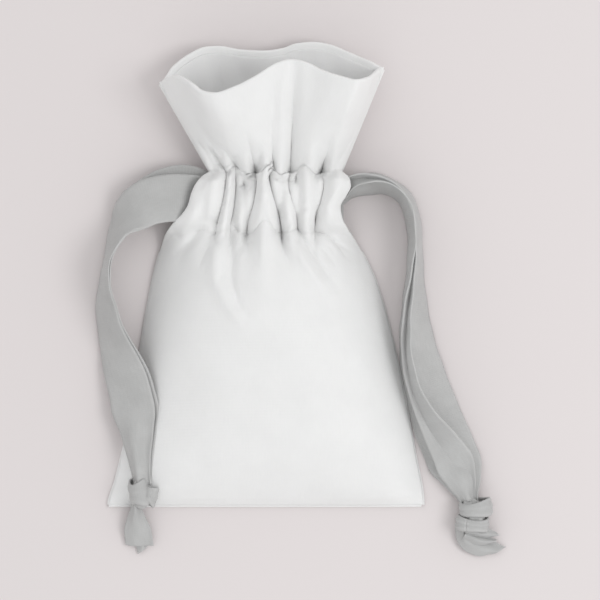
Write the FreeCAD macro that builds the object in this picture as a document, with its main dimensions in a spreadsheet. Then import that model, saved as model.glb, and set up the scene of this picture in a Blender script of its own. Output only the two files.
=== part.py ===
import FreeCAD, Part
import math
import os
import re

import Sketcher

# Drawstring gift pouch of cotton cloth with a double drawstring of flat ribbon. It lies on its back panel.
# +X is to the pouch's right, +Y from its bottom seam to its mouth, +Z up. The origin is on the table, under the
# middle of the cloth. All sizes are in millimetres.

SIZES = {
    # cloth
    "cloth_thickness": 0.6,
    "layer_gap": 0.1,
    "bottom_width": 100.0,
    "belly_width": 84.0,
    "waist_width": 78.0,
    "shoulder_width": 69.0,
    "throat_width": 58.0,
    "body_length": 87.0,
    "channel_height": 19.0,
    "header_height": 40.0,
    # distance of the front panel's arches from the bottom seam
    "belly_station": 33.0,
    "waist_station": 55.0,
    "shoulder_station": 73.0,
    # height of the front panel's crown above the table at each arch
    "bottom_crown": 3.2,
    "belly_crown": 17.0,
    "waist_crown": 20.5,
    "shoulder_crown": 18.0,
    "throat_crown": 16.5,
    # neck
    "casing_width": 52.0,
    "passage_width": 47.0,
    "passage_height": 6.0,
    "joint_gap": 0.4,
    # ruffle above the channel
    "lip_base_width": 46.0,
    "rim_width": 68.0,
    "front_lip_length": 31.6,
    "front_lip_foot": 9.8,
    "front_lip_base_crown": 12.4,
    "front_lip_rim_crown": 27.0,
    "header_seam_height": 8.0,
    # seams and threads
    "seam_allowance": 7.0,
    "seam_clearance": 2.2,
    "edge_slope": 0.42,
    "side_seam_start": 20.0,
    "bottom_seam_length": 64.0,
    "bottom_seam_inset": 1.0,
    "stitch_setback": 1.6,
    "stitch_margin": 1.0,
    "thread_width": 0.4,
    # ribbons
    "ribbon_width": 15.0,
    "ribbon_thickness": 0.4,
    "ribbon_gap": 0.3,
    "run_overhang": 3.0,
    "middle_gap": 2.0,
    "strand_diameter": 3.0,
    "knot_radius": 4.0,
    "wrap_radius": 3.6,
    "wrap_thickness": 2.4,
    "tail_root_width": 3.2,
    "tail_root_thickness": 1.6,
    "tail_thickness": 0.8,
}

# Heights of the layers of the neck, from the table up.
TUNNEL = "(3 * ribbon_gap + 2 * ribbon_thickness)"
BACK_RUN = "(cloth_thickness + ribbon_gap)"
BACK_FACING = f"(cloth_thickness + {TUNNEL})"
PASSAGE_FLOOR = f"({BACK_FACING} + cloth_thickness)"
PASSAGE_MIDDLE = f"({PASSAGE_FLOOR} + passage_height / 2)"
PASSAGE_ROOF = f"({PASSAGE_FLOOR} + passage_height)"
FRONT_RUN = f"({PASSAGE_ROOF} + cloth_thickness + 2 * ribbon_gap + ribbon_thickness)"
FRONT_CASING = f"({PASSAGE_ROOF} + cloth_thickness + {TUNNEL})"
LINING = "(cloth_thickness + layer_gap)"

# Distance inside the body's side edges at which a layer of cloth fits under the front panel's slope.
SEAM_INSET = "(seam_clearance + 2 * cloth_thickness / edge_slope)"

# Places along the pouch.
BOTTOM = "(-(body_length + channel_height + header_height) / 2)"
THROAT = f"({BOTTOM} + body_length)"
COLLAR = f"({THROAT} + channel_height)"
CHANNEL_MIDDLE = f"({THROAT} + channel_height / 2)"
RIM = f"({COLLAR} + header_height)"
LIP_START = f"({COLLAR} + joint_gap)"

vector = FreeCAD.Vector
doc = FreeCAD.newDocument("drawstring_gift_pouch")
sheet = doc.addObject("Spreadsheet::Sheet", "Sizes")
for row, (alias, value) in enumerate(SIZES.items(), start=1):
    sheet.set(f"A{row}", alias)
    sheet.set(f"B{row}", str(value))
    sheet.setAlias(f"B{row}", alias)
doc.recompute()

sub_parts = []


def size(expression):
    """The number that an expression of the sheet's names gives."""
    return float(sheet.evalExpression(str(expression)))


def bind(item, target, expression):
    """Ties a property to an expression of the sheet's names."""
    named = re.sub(r"[a-z_]+", lambda word: f"Sizes.{word[0]}" if word[0] in SIZES else word[0], str(expression))
    item.setExpression(target, named)


def keep(item, label):
    """Makes an object a sub-part, whose label is its node's name."""
    item.Label = label
    sub_parts.append(item)
    return item


def new_sketch(body, name, role, offset):
    """A sketch on one of its body's origin planes, moved along the plane's normal."""
    sketch = body.newObject("Sketcher::SketchObject", name)
    plane = next(feature for feature in body.Origin.OriginFeatures if feature.Role == role)
    sketch.AttachmentSupport = [(plane, "")]
    sketch.MapMode = "FlatFace"
    bind(sketch, "AttachmentOffset.Base.z", offset)
    return sketch


def dimension(sketch, constraint, expression):
    """Adds a constraint whose value is bound to the sheet."""
    index = sketch.addConstraint(Sketcher.Constraint(*constraint, size(expression)))
    bind(sketch, f"Constraints[{index}]", expression)


def plate(label, corners, base, thickness):
    """A level plate: a padded outline whose corners are pairs of expressions."""
    body = doc.addObject("PartDesign::Body", f"{label}_body")
    sketch = new_sketch(body, f"{label}_outline", "XY_Plane", base)
    points = [vector(size(x), size(y), 0) for x, y in corners]
    count = len(points)
    for index, point in enumerate(points):
        sketch.addGeometry(Part.LineSegment(point, points[(index + 1) % count]))
    for index, (x, y) in enumerate(corners):
        sketch.addConstraint(Sketcher.Constraint("Coincident", index, 2, (index + 1) % count, 1))
        dimension(sketch, ("DistanceX", -1, 1, index, 1), x)
        dimension(sketch, ("DistanceY", -1, 1, index, 1), y)
    pad = body.newObject("PartDesign::Pad", f"{label}_pad")
    pad.Profile = sketch
    bind(pad, "Length", thickness)
    sketch.Visibility = False
    return keep(body, label)


def strip(label, width, ends, base, thickness):
    """A rectangular plate across the pouch, from one place along it to another."""
    half = f"({width}) / 2"
    low, high = ends
    corners = [(f"-{half}", low), (half, low), (half, high), (f"-{half}", high)]
    return plate(label, corners, base, thickness)


def arch_sketch(body, name, place, width, foot, crown):
    """One arched section of cloth, as thick as the cloth, standing across the pouch."""
    sketch = new_sketch(body, name, "XZ_Plane", f"-({place})")
    half = f"(({width}) / 2)"
    rise = f"(({crown}) - ({foot}))"
    radius = f"({half} * {half} + {rise} * {rise}) / (2 * {rise})"
    outer = size(radius)
    inner = outer - size("cloth_thickness")
    centre = vector(0, size(crown) - outer, 0)
    drop = size(foot) - centre.y
    for arc_radius in (outer, inner):
        start = math.asin(drop / arc_radius)
        circle = Part.Circle(centre, vector(0, 0, 1), arc_radius)
        sketch.addGeometry(Part.ArcOfCircle(circle, start, math.pi - start))
    ends = [[sketch.Geometry[arc].StartPoint, sketch.Geometry[arc].EndPoint] for arc in (0, 1)]
    sketch.addGeometry(Part.LineSegment(ends[0][0], ends[1][0]))
    sketch.addGeometry(Part.LineSegment(ends[0][1], ends[1][1]))
    for constraint in (
        ("PointOnObject", 0, 3, -2),
        ("Coincident", 0, 3, 1, 3),
        ("Coincident", 2, 1, 0, 1),
        ("Coincident", 2, 2, 1, 1),
        ("Coincident", 3, 1, 0, 2),
        ("Coincident", 3, 2, 1, 2),
        ("Horizontal", 2),
        ("Horizontal", 3),
    ):
        sketch.addConstraint(Sketcher.Constraint(*constraint))
    dimension(sketch, ("DistanceX", -1, 1, 0, 1), half)
    dimension(sketch, ("DistanceY", -1, 1, 0, 1), foot)
    dimension(sketch, ("DistanceY", -1, 1, 0, 2), foot)
    dimension(sketch, ("Radius", 0), radius)
    dimension(sketch, ("Radius", 1), f"{radius} - cloth_thickness")
    sketch.Visibility = False
    return sketch


def arched_shell(label, arches):
    """A curved piece of cloth, lofted straight from arch to arch."""
    body = doc.addObject("PartDesign::Body", f"{label}_body")
    sketches = [arch_sketch(body, f"{label}_arch_{index}", *arch) for index, arch in enumerate(arches)]
    doc.recompute()
    loft = body.newObject("PartDesign::AdditiveLoft", f"{label}_loft")
    loft.Profile = sketches[0]
    loft.Sections = sketches[1:]
    loft.Ruled = True
    return keep(body, label)


def half_width(station):
    """Half the body's width at a station that isn't one of its arches, along its straight side."""
    return f"((bottom_width + (belly_width - bottom_width) * ({station}) / belly_station) / 2)"


def side_strip(label, side, inset, width, base, thickness):
    """A strip that follows the body's side edge, some way inside it."""
    edge = [
        (half_width("side_seam_start"), f"({BOTTOM} + side_seam_start)"),
        ("(belly_width / 2)", f"({BOTTOM} + belly_station)"),
        ("(waist_width / 2)", f"({BOTTOM} + waist_station)"),
        ("(shoulder_width / 2)", f"({BOTTOM} + shoulder_station)"),
        ("(throat_width / 2)", f"({THROAT} - joint_gap)"),
    ]
    outer = [(f"{side} * ({half} - {inset})", place) for half, place in edge]
    inner = [(f"{side} * ({half} - {inset} - {width})", place) for half, place in reversed(edge)]
    return plate(label, outer + inner, base, thickness)


def bar(label, span, place, height, radius):
    """A straight thread across the pouch."""
    rod = doc.addObject("Part::Cylinder", f"{label}_rod")
    rod.Placement = FreeCAD.Placement(vector(), FreeCAD.Rotation(vector(0, 1, 0), 90))
    bind(rod, "Height", span)
    bind(rod, "Radius", radius)
    bind(rod, "Placement.Base.x", f"-({span}) / 2")
    bind(rod, "Placement.Base.y", place)
    bind(rod, "Placement.Base.z", height)
    return keep(rod, label)


def ribbon_turn(label, side):
    """The loop of a ribbon round the side seam opposite its exit, with its two legs inside the channels."""
    outer_radius = "(passage_height / 2 + cloth_thickness + ribbon_gap + ribbon_thickness)"
    inner_radius = "(passage_height / 2 + cloth_thickness + ribbon_gap)"
    turned = FreeCAD.Rotation(vector(1, 0, 0), -90) * FreeCAD.Rotation(vector(0, 0, 1), -90 * side)
    rolls = []
    for name, radius, angle in (("outer", outer_radius, 180), ("inner", inner_radius, 360)):
        roll = doc.addObject("Part::Cylinder", f"{label}_{name}_roll")
        roll.Placement = FreeCAD.Placement(vector(), turned)
        roll.Angle = angle
        bind(roll, "Radius", radius)
        bind(roll, "Height", "ribbon_width")
        bind(roll, "Placement.Base.x", f"{side} * passage_width / 2")
        bind(roll, "Placement.Base.y", f"{CHANNEL_MIDDLE} - ribbon_width / 2")
        bind(roll, "Placement.Base.z", PASSAGE_MIDDLE)
        rolls.append(roll)
    bend = doc.addObject("Part::Cut", f"{label}_bend")
    bend.Base, bend.Tool = rolls
    leg_length = "(passage_width / 2 - middle_gap / 2)"
    legs = []
    for name, height in (
        ("back", f"{PASSAGE_MIDDLE} - {outer_radius}"),
        ("front", f"{PASSAGE_MIDDLE} + {inner_radius}"),
    ):
        leg = doc.addObject("Part::Box", f"{label}_{name}_leg")
        bind(leg, "Length", leg_length)
        bind(leg, "Width", "ribbon_width")
        bind(leg, "Height", "ribbon_thickness")
        start = "middle_gap / 2" if side > 0 else f"-passage_width / 2"
        bind(leg, "Placement.Base.x", start)
        bind(leg, "Placement.Base.y", f"{CHANNEL_MIDDLE} - ribbon_width / 2")
        bind(leg, "Placement.Base.z", height)
        legs.append(leg)
    turn = doc.addObject("Part::MultiFuse", f"{label}_fuse")
    turn.Shapes = [bend, *legs]
    return keep(turn, label)


def ribbon_run(label, side, height):
    """A ribbon's straight stretch in its channel, from the middle of the neck out of its side opening."""
    near = f"({side} * middle_gap / 2)"
    far = f"({side} * (casing_width / 2 + run_overhang))"
    low = f"({CHANNEL_MIDDLE} - ribbon_width / 2)"
    high = f"({CHANNEL_MIDDLE} + ribbon_width / 2)"
    return plate(label, [(near, low), (far, low), (far, high), (near, high)], height, "ribbon_thickness")


def strand(label, route):
    """A free strand of ribbon, drawn together to a round bundle, along straight runs joined by tangent arcs."""
    points = [vector(*point) for point in route]
    edges = []
    radii = []
    start = points[0]
    for before, corner, after in zip(points, points[1:], points[2:]):
        shorter = min((corner - before).Length, (after - corner).Length)
        into = (corner - before).normalize()
        out = (after - corner).normalize()
        trim = 0.45 * shorter
        radii.append(trim / math.tan(into.getAngle(out) / 2))
        first = corner - into * trim
        last = corner + out * trim
        bisector = (out - into).normalize()
        to_centre = math.hypot(radii[-1], trim)
        middle = corner + bisector * (to_centre - radii[-1])
        edges.append(Part.LineSegment(start, first).toShape())
        edges.append(Part.Arc(first, middle, last).toShape())
        start = last
    edges.append(Part.LineSegment(start, points[-1]).toShape())
    path = Part.Wire(edges)
    radius = size("strand_diameter") / 2
    section = Part.Wire(Part.makeCircle(radius, points[0], points[1] - points[0]))
    tube = path.makePipeShell([section], True, True)
    ratio = tube.Volume / (math.pi * radius**2 * path.Length)
    print(f"{label}: length {path.Length:.1f}, volume ratio {ratio:.3f}, radii", [round(r, 1) for r in radii])
    feature = doc.addObject("Part::Feature", f"{label}_tube")
    feature.Shape = tube
    feature.Placement = FreeCAD.Placement()
    return keep(feature, label)


def knot(label, centre, turn_angle, wraps):
    """An overhand knot of both ends of a ribbon: a round core inside its wraps."""
    core = doc.addObject("Part::Sphere", f"{label}_core")
    bind(core, "Radius", "knot_radius")
    pieces = [core]
    for index, offset in enumerate(wraps):
        wrap = doc.addObject("Part::Torus", f"{label}_wrap_{index}")
        bind(wrap, "Radius1", "wrap_radius")
        bind(wrap, "Radius2", "wrap_thickness / 2")
        wrap.Placement = FreeCAD.Placement(vector(0, offset, 0), FreeCAD.Rotation(vector(1, 0, 0), 90))
        pieces.append(wrap)
    fuse = doc.addObject("Part::MultiFuse", f"{label}_fuse")
    fuse.Shapes = pieces
    fuse.Placement = FreeCAD.Placement(vector(*centre), FreeCAD.Rotation(vector(0, 0, 1), turn_angle))
    return keep(fuse, label)


def rectangle(centre, across, width, thickness):
    """A rectangle of ribbon end, standing on its lower edge's height."""
    side = vector(*across).normalize() * (width / 2)
    up = vector(0, 0, thickness / 2)
    centre = vector(*centre)
    corners = [centre - side - up, centre + side - up, centre + side + up, centre - side + up]
    return Part.makePolygon([*corners, corners[0]])


def tail(label, root, tip, tip_across, tip_width):
    """A cut end of ribbon, from the knot down to the table."""
    along = vector(*tip) - vector(*root)
    root_across = (-along.y, along.x, 0)
    across = vector(*tip_across)
    if across.dot(vector(*root_across)) < 0:
        across = across * -1
    first = rectangle(root, root_across, size("tail_root_width"), size("tail_root_thickness"))
    last = rectangle(tip, tuple(across), tip_width, size("tail_thickness"))
    feature = doc.addObject("Part::Feature", f"{label}_loft")
    feature.Shape = Part.makeLoft([first, last], True, True)
    feature.Placement = FreeCAD.Placement()
    return keep(feature, label)


# Body of the pouch.
body_edge = [
    ("bottom_width / 2", BOTTOM),
    ("belly_width / 2", f"{BOTTOM} + belly_station"),
    ("waist_width / 2", f"{BOTTOM} + waist_station"),
    ("shoulder_width / 2", f"{BOTTOM} + shoulder_station"),
    ("throat_width / 2", f"{THROAT} - joint_gap"),
]
mirrored_edge = [(f"-{half}", place) for half, place in reversed(body_edge)]
plate("back_panel", body_edge + mirrored_edge, "0", "cloth_thickness")
arched_shell(
    "front_panel",
    [
        (BOTTOM, "bottom_width", LINING, "bottom_crown"),
        (f"{BOTTOM} + belly_station", "belly_width", LINING, "belly_crown"),
        (f"{BOTTOM} + waist_station", "waist_width", LINING, "waist_crown"),
        (f"{BOTTOM} + shoulder_station", "shoulder_width", LINING, "shoulder_crown"),
        (f"{THROAT} - joint_gap", "throat_width", LINING, "throat_crown"),
    ],
)
seam_top = f"({LINING} + cloth_thickness)"
for side, name in ((-1, "left"), (1, "right")):
    side_strip(f"{name}_side_seam", side, SEAM_INSET, "seam_allowance", LINING, "cloth_thickness")
    side_strip(f"{name}_side_stitching", side, f"({SEAM_INSET} + stitch_setback)", "thread_width", seam_top,
               "thread_width")
allowance_low = f"({BOTTOM} + bottom_seam_inset)"
strip("bottom_seam", "bottom_seam_length", (allowance_low, f"{allowance_low} + seam_allowance"), LINING,
      "cloth_thickness")
bar("bottom_stitching", "bottom_seam_length / 2", f"{BOTTOM} + bottom_seam_inset + seam_allowance / 2",
    f"{seam_top} + thread_width / 2", "thread_width / 2")

# Neck: two channels with the passage between them.
channel = (THROAT, COLLAR)
strip("back_casing", "casing_width", channel, "0", "cloth_thickness")
strip("back_facing", "passage_width", channel, BACK_FACING, "cloth_thickness")
strip("front_facing", "passage_width", channel, PASSAGE_ROOF, "cloth_thickness")
strip("front_casing", "casing_width", channel, FRONT_CASING, "cloth_thickness")
for side, name in ((-1, "left"), (1, "right")):
    inner = f"({side} * (passage_width / 2 - cloth_thickness))"
    outer = f"({side} * passage_width / 2)"
    plate(f"{name}_neck_seam", [(inner, THROAT), (outer, THROAT), (outer, COLLAR), (inner, COLLAR)],
          PASSAGE_FLOOR, "passage_height")
for row, place in (("lower", f"{THROAT} + stitch_margin"), ("upper", f"{COLLAR} - stitch_margin")):
    for layer, top in (("back", PASSAGE_FLOOR), ("front", f"({FRONT_CASING} + cloth_thickness)")):
        bar(f"{layer}_{row}_stitching", "passage_width - 2 * stitch_margin", place,
            f"{top} + thread_width / 2", "thread_width / 2")

# Ruffle above the channels: a double layer of cloth in front and at the back, and its two side seams.
rim_gain = "(rim_width - lip_base_width)"
front_rim_width = f"(lip_base_width + {rim_gain} * front_lip_length / (header_height - joint_gap))"
base_half = "(lip_base_width / 2)"
rim_half = "(rim_width / 2)"
lip_corners = [(base_half, LIP_START), (rim_half, RIM), (f"-{rim_half}", RIM), (f"-{base_half}", LIP_START)]
plate("back_lip_outer", lip_corners, "0", "cloth_thickness")
plate("back_lip_facing", lip_corners, LINING, "cloth_thickness")
front_rim = f"({LIP_START} + front_lip_length)"
for name, drop, inset in (("front_lip_outer", "0", "0"), ("front_lip_facing", LINING, "(2 * cloth_thickness)")):
    foot = f"front_lip_foot - {drop}"
    arched_shell(
        name,
        [
            (LIP_START, f"lip_base_width - 2 * {inset}", foot, f"front_lip_base_crown - {drop}"),
            (front_rim, f"{front_rim_width} - 2 * {inset}", foot, f"front_lip_rim_crown - {drop}"),
        ],
    )
for side, name in ((-1, "left"), (1, "right")):
    near_base = f"({side} * ({base_half} + joint_gap))"
    far_base = f"({side} * ({base_half} + joint_gap + cloth_thickness))"
    near_rim = f"({side} * ({rim_half} + joint_gap))"
    far_rim = f"({side} * ({rim_half} + joint_gap + cloth_thickness))"
    plate(f"{name}_header_seam", [(near_base, LIP_START), (far_base, LIP_START), (far_rim, RIM), (near_rim, RIM)],
          "0", "header_seam_height")

# Ribbons in the channels.
for side, name in ((-1, "left"), (1, "right")):
    ribbon_run(f"{name}_ribbon_back_run", side, BACK_RUN)
    ribbon_run(f"{name}_ribbon_front_run", side, FRONT_RUN)
    ribbon_turn(f"{name}_ribbon_turn", -side)

# Free strands, their knots and cut tails.
strand("left_front_strand", [
    (-30.7, 24.5, 10.7), (-38.2, 23.6, 10.2), (-45.6, 17.8, 7.4), (-50.4, 8.2, 5.2), (-52.0, -3.0, 3.4),
    (-50.9, -14.2, 2.3), (-47.4, -25.2, 2.6), (-43.4, -36.0, 5.4), (-41.0, -46.4, 7.4), (-40.2, -56.6, 7.7),
    (-39.6, -65.6, 7.8),
])
strand("left_back_strand", [
    (-30.7, 22.5, 1.6), (-38.6, 21.4, 1.6), (-44.8, 15.6, 1.7), (-48.0, 6.6, 1.6), (-48.4, -4.2, 1.7),
    (-46.6, -15.0, 1.7), (-43.6, -25.4, 3.4), (-39.4, -35.6, 6.6), (-36.8, -46.2, 9.2), (-36.4, -56.8, 8.6),
    (-37.4, -65.4, 7.9),
])
strand("right_front_strand", [
    (30.7, 28.6, 10.7), (37.0, 30.2, 10.2), (43.2, 27.4, 8.6), (47.0, 20.6, 6.6), (47.9, 10.8, 4.8),
    (46.9, 0.2, 3.4), (46.3, -10.6, 2.3), (47.6, -22.2, 1.7), (51.2, -33.6, 1.6), (55.9, -45.0, 1.7),
    (60.8, -56.0, 1.8), (64.4, -66.4, 3.2), (65.6, -73.4, 4.6),
])
strand("right_back_strand", [
    (30.7, 25.4, 1.6), (37.0, 24.0, 1.7), (41.2, 19.0, 1.6), (43.0, 10.6, 1.7), (42.8, -0.2, 1.6),
    (41.9, -11.2, 1.7), (43.4, -23.2, 1.6), (47.0, -35.0, 1.7), (51.6, -46.4, 1.6), (56.6, -57.4, 1.7),
    (61.2, -67.4, 3.0), (64.2, -73.6, 4.4),
])
knot("left_knot", (-38.8, -69.0, 8.0), 8, (-1.6, 1.6))
knot("right_knot", (66.2, -77.2, 5.0), -14, (-2.4, 2.4))
tail("left_long_tail", (-37.4, -72.2, 6.0), (-38.8, -86.2, 0.6), (1, 0.15, 0), 6.0)
tail("left_short_tail", (-41.2, -71.8, 6.0), (-44.4, -84.6, 0.6), (1, -0.1, 0), 3.6)
tail("right_long_tail", (66.8, -80.6, 2.6), (70.6, -88.0, 0.6), (1, 0.3, 0), 7.0)
tail("right_short_tail", (69.4, -79.2, 5.0), (74.6, -84.2, 2.6), (0.5, -1, 0), 4.0)

doc.recompute()
failed = [item.Name for item in doc.Objects if {"Invalid", "Error"} & set(item.State)]
if failed:
    raise RuntimeError(f"failed objects: {failed}")
for item in sub_parts:
    if item.Shape.isNull() or not item.Shape.isValid() or item.Shape.Volume <= 0:
        raise RuntimeError(f"bad shape: {item.Label}")

os.makedirs("parts", exist_ok=True)
for item in sub_parts:
    item.Shape.exportStep(f"parts/{item.Label}.step")
print(f"wrote {len(sub_parts)} sub-parts")
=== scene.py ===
"""Looks of the drawstring gift pouch: gathered cotton, ribbed ribbons, knots and stitching."""
import math

import bpy
import numpy as np
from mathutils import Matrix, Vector


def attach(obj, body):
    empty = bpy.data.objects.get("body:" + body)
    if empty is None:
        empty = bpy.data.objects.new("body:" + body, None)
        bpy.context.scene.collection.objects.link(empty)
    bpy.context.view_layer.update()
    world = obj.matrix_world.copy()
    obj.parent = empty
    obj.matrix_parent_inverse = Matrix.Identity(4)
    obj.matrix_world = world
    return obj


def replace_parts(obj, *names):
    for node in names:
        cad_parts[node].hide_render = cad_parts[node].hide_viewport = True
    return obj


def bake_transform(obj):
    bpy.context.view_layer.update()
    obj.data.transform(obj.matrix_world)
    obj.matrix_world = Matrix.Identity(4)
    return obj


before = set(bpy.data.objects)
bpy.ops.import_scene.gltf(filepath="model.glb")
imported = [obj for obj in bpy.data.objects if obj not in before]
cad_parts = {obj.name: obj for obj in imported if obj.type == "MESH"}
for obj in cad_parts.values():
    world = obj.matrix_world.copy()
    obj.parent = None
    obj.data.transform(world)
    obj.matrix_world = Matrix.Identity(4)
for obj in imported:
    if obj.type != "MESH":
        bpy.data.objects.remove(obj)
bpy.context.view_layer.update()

MM = 0.001
CLOTH = 0.55          # thickness of one layer of cotton
FACING = 0.3          # thickness of the turned-in layer
RIBBON = 0.35         # thickness of the ribbon
KNOTTED = 0.5         # thickness of a ribbon wrapped round a knot, crumpled double
RIBBON_WIDTH = 15.0
FLAT_WIDTH = 100.0    # each panel before it is gathered
LOWER_STITCH = 13.6   # the channel's two lines of stitching, by y
UPPER_STITCH = 32.8
BOTTOM = -73.0        # the bottom seam, by y
CHANNEL_BASE = 11.6   # the front cloth's height in the channel, before its pleats
PRESSED = 0.030       # unevenness of the pressed cotton
THREAD_RADIUS = 0.10
STITCH = 1.4          # length of one stitch
STITCH_GAP = 1.0
SEAM_RADIUS = 0.5
BOTTOM_SEAM_RADIUS = 0.55
# The layers in the neck's channels from the table up, by the height of each one's middle.
BACK_CREST, BACK_RUN, BACK_TURN, BACK_FACING = 4.4, 5.0, 5.45, 5.9
FRONT_FACING, FRONT_TURN, FRONT_RUN, FRONT_VALLEY = 6.45, 6.95, 7.4, 8.2
random = np.random.RandomState(7)


# ---- curves through a few values
def through(keys):
    """A smooth function through (place, value) keys, level beyond the ends and with no overshoot."""
    at = np.array([k[0] for k in keys], float)
    value = np.array([k[1] for k in keys], float)
    rise = np.diff(value) / np.diff(at)
    slope = np.zeros(len(at))
    for i in range(1, len(at) - 1):
        if rise[i - 1] * rise[i] > 0:
            slope[i] = 2 * rise[i - 1] * rise[i] / (rise[i - 1] + rise[i])

    def evaluate(x):
        x = np.clip(np.asarray(x, float), at[0], at[-1])
        i = np.clip(np.searchsorted(at, x) - 1, 0, len(at) - 2)
        gap = at[i + 1] - at[i]
        t = (x - at[i]) / gap
        return ((1 + 2 * t) * (1 - t) ** 2 * value[i] + t * (1 - t) ** 2 * gap * slope[i]
                + t * t * (3 - 2 * t) * value[i + 1] + t * t * (t - 1) * gap * slope[i + 1])
    return evaluate


def bump(x, centre, width):
    """A bell of height 1."""
    return np.exp(-((x - centre) / width) ** 2)


def step(x, start, end):
    """0 up to start, 1 from end on, smooth between."""
    t = np.clip((x - start) / (end - start), 0, 1)
    return t * t * (3 - 2 * t)


# ---- meshes
def new_mesh(name, vertices, faces, uv=None):
    """A smooth-shaded mesh object, made from points in millimetres."""
    mesh = bpy.data.meshes.new(name)
    mesh.from_pydata([tuple(float(c) * MM for c in v) for v in vertices], [], faces)
    if uv is not None:
        layer = mesh.uv_layers.new(name="cloth")
        index = np.empty(len(mesh.loops), np.int32)
        mesh.loops.foreach_get("vertex_index", index)
        layer.data.foreach_set("uv", np.asarray(uv, np.float32)[index].ravel())
    mesh.polygons.foreach_set("use_smooth", [True] * len(mesh.polygons))
    mesh.update()
    obj = bpy.data.objects.new(name, mesh)
    bpy.context.scene.collection.objects.link(obj)
    return obj


def grid_mesh(name, grid, uv, closed=False):
    """A mesh over rows and columns of points; closed joins the last column to the first."""
    rows, columns = grid.shape[:2]
    last = columns if closed else columns - 1
    faces = []
    for r in range(rows - 1):
        for c in range(last):
            n = (c + 1) % columns
            faces.append((r * columns + c, r * columns + n, (r + 1) * columns + n, (r + 1) * columns + c))
    return new_mesh(name, grid.reshape(-1, 3), faces, uv.reshape(-1, 2))


def apply_modifiers(obj):
    """Turns the object's modifiers into its own mesh."""
    depsgraph = bpy.context.evaluated_depsgraph_get()
    mesh = bpy.data.meshes.new_from_object(obj.evaluated_get(depsgraph))
    obj.modifiers.clear()
    obj.data = mesh


def thicken(obj, thickness):
    """Gives a sheet its thickness, half on each side."""
    solid = obj.modifiers.new("thickness", "SOLIDIFY")
    solid.thickness = thickness * MM
    solid.offset = 0.0
    solid.use_even_offset = False
    apply_modifiers(obj)


# ---- materials
def node_material(name, roughness, sheen, sheen_roughness, through_light=0.0):
    """A material's nodes, with what is the same all over set on the shader."""
    material = bpy.data.materials.new(name)
    material.use_nodes = True
    nodes, links = material.node_tree.nodes, material.node_tree.links
    shader = nodes["Principled BSDF"]
    shader.inputs["Roughness"].default_value = roughness
    shader.inputs["Sheen Weight"].default_value = sheen
    shader.inputs["Sheen Roughness"].default_value = sheen_roughness
    shader.inputs["Specular IOR Level"].default_value = 0.25
    shader.inputs["Subsurface Weight"].default_value = through_light
    shader.inputs["Subsurface Radius"].default_value = (1.0, 1.0, 0.96)
    shader.inputs["Subsurface Scale"].default_value = 0.0015
    return material, nodes, links, shader


def add_node(nodes, kind, **values):
    """A shader node with its inputs set; an underscore in a name stands for a space."""
    node = nodes.new("ShaderNode" + kind)
    for name, value in values.items():
        node.inputs[name.replace("_", " ")].default_value = value
    return node


def colour_ramp(nodes, *stops):
    """A ramp between two (place, colour) stops."""
    ramp = add_node(nodes, "ValToRGB")
    for element, (place, colour) in zip(ramp.color_ramp.elements, stops):
        element.position = place
        element.color = (*colour, 1)
    return ramp


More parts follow.
